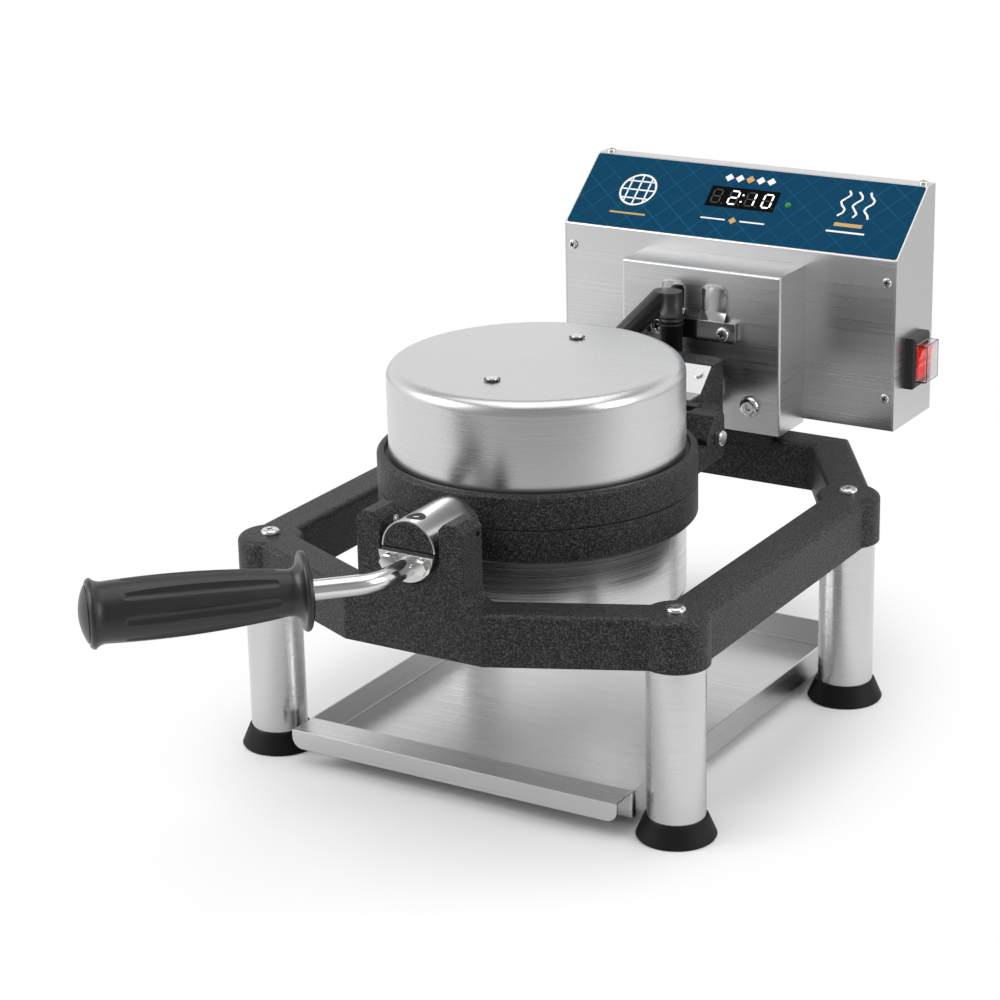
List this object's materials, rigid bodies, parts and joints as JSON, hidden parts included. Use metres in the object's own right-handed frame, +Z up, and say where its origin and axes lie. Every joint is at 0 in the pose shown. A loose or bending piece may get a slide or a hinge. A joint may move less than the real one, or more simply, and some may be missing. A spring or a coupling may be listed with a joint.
{
  "type": "rotating waffle maker",
  "caption": "Countertop waffle iron that turns over in a cast frame on tube legs, with a side handle, hinged upper half, drip tray and rear control box.",
  "frame": {"origin": "on the floor, under the middle of the machine's overall length and width", "axes": "+X to the right seen from the handle side, +Y from the handle end to the control box, +Z up"},
  "size_m": [0.358, 0.6796, 0.3311],
  "materials": {
    "black_casting": "textured black powder coat",
    "brushed_steel": "brushed",
    "bright_steel": "polished",
    "waffle_plate": "dark non-stick coat",
    "element_steel": "heat-darkened tube",
    "bush_bronze": "plain",
    "black_plastic": "satin",
    "black_rubber": "matte",
    "clear_rubber": "clear, soft",
    "red_plastic": "glossy, lit from behind",
    "label_print": "printed overlay",
    "window_dark": "smoked window",
    "lamp_green": "lit lens",
    "board_green": "circuit board",
    "terminal_white": "moulded"
  },
  "bodies": {
    "stand": {"frame_casting": "black_casting", "yoke_lining": "black_plastic", "plunger_barrels": "bright_steel", "leg_plugs": "black_plastic", "leg_screws": "bright_steel", "rear_bush": "bush_bronze", "flip_sensor": "black_plastic", "bearing_housing": "brushed_steel", "housing_bolts": "bright_steel", "clip_bracket": "brushed_steel", "control_box_cover": "brushed_steel", "control_box_chassis": "brushed_steel", "box_screws": "bright_steel", "label_panel": "label_print", "display_window": "window_dark", "indicator_lamp": "lamp_green", "display_module": "terminal_white", "control_board": "board_green", "terminal_block": "terminal_white", "cord_gland": "black_rubber", "switch_body": "black_plastic", "switch_boot": "clear_rubber", "leg_front_left": "brushed_steel", "foot_front_left": "black_rubber", "leg_front_right": "brushed_steel", "foot_front_right": "black_rubber", "leg_back_left": "brushed_steel", "foot_back_left": "black_rubber", "leg_back_right": "brushed_steel", "foot_back_right": "black_rubber"},
    "iron": {"lower_ring": "black_casting", "lower_cover": "brushed_steel", "lower_grid": "waffle_plate", "lower_element": "element_steel", "handle_plate": "brushed_steel", "handle_bolts": "bright_steel", "handle_rod": "brushed_steel", "handle_grip": "black_plastic", "lead_conduit": "black_plastic", "hub_casting": "black_casting", "wiring_cover": "brushed_steel", "rotor_screws": "bright_steel", "hinge_pin": "bright_steel", "hinge_pin_clip": "bright_steel", "rear_shaft": "brushed_steel", "thrust_washers": "bright_steel", "shaft_nut": "bright_steel", "magnet_ring": "black_plastic", "flip_magnet": "bright_steel"},
    "lid": {"upper_ring": "black_casting", "upper_cover": "brushed_steel", "upper_grid": "waffle_plate", "upper_element": "element_steel", "trunnion_shell": "brushed_steel", "lid_screws": "bright_steel"},
    "tray": {"drip_tray": "brushed_steel", "tray_bumpers": "black_rubber"},
    "rocker": {"switch_rocker": "red_plastic"},
    "plunger_left": {"plunger_nose_left": "bright_steel"},
    "plunger_right": {"plunger_nose_right": "bright_steel"}
  },
  "joints": [
    {"name": "iron_turn", "type": "hinge", "parent": "stand", "child": "iron", "pos_m": [0, 0, 0.187], "axis": [0, -1, 0], "range_deg": [-180, 0]},
    {"name": "lid", "type": "hinge", "parent": "iron", "child": "lid", "pos_m": [0, 0.122, 0.187], "axis": [-1, 0, 0], "range_deg": [0, 80]},
    {"name": "tray_slide", "type": "slide", "parent": "stand", "child": "tray", "axis": [0, -1, 0], "range_m": [0, 0.3]},
    {"name": "switch_rocker", "type": "hinge", "parent": "stand", "child": "rocker", "pos_m": [0.1389, 0.299, 0.206], "axis": [0, 1, 0], "range_deg": [-16, 0]},
    {"name": "plunger_left", "type": "slide", "parent": "stand", "child": "plunger_left", "axis": [-1, 0, 0], "range_m": [0, 0.001], "stiffness_N_per_m": 1500, "springref_m": -0.001},
    {"name": "plunger_right", "type": "slide", "parent": "stand", "child": "plunger_right", "axis": [1, 0, 0], "range_m": [0, 0.001], "stiffness_N_per_m": 1500, "springref_m": -0.001}
  ]
}
